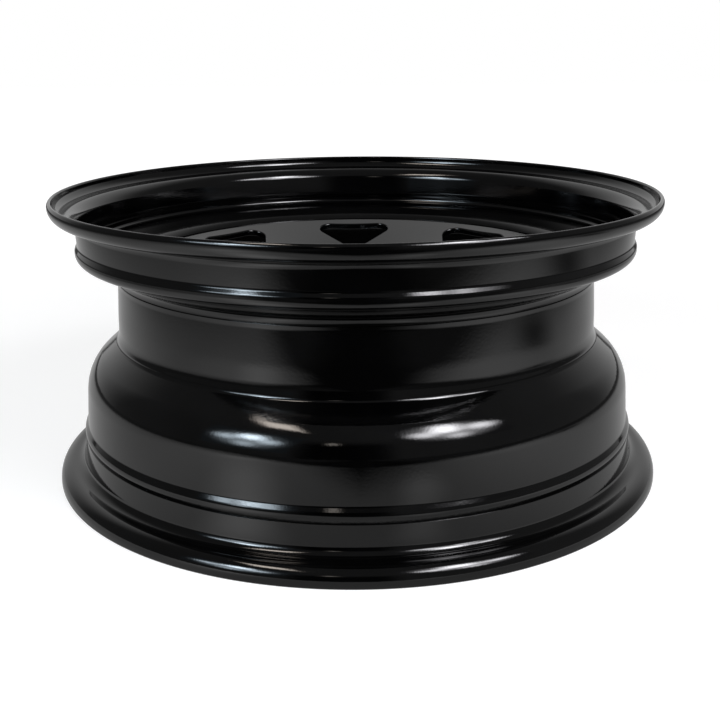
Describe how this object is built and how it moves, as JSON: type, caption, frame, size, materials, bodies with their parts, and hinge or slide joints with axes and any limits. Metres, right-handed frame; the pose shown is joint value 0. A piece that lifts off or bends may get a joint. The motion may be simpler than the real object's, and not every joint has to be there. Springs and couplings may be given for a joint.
{
  "type": "steel wheel rim",
  "caption": "Pressed and welded steel wheel rim in gloss black: a drop-well barrel with curled flanges around a dished disc with triangular vents, stud holes and a hub bore",
  "frame": {"origin": "on the wheel axis, in the plane that the inboard lip rests on", "axes": "+Z along the wheel axis to the outboard side, +Y through the middle of a vent"},
  "size_m": [0.4405, 0.4406, 0.2032],
  "materials": {
    "gloss_black_paint": "gloss black paint over pressed steel"
  },
  "bodies": {
    "root": {"rim_barrel": "gloss_black_paint", "wheel_disc": "gloss_black_paint", "weld_runs": "gloss_black_paint"}
  },
  "joints": []
}
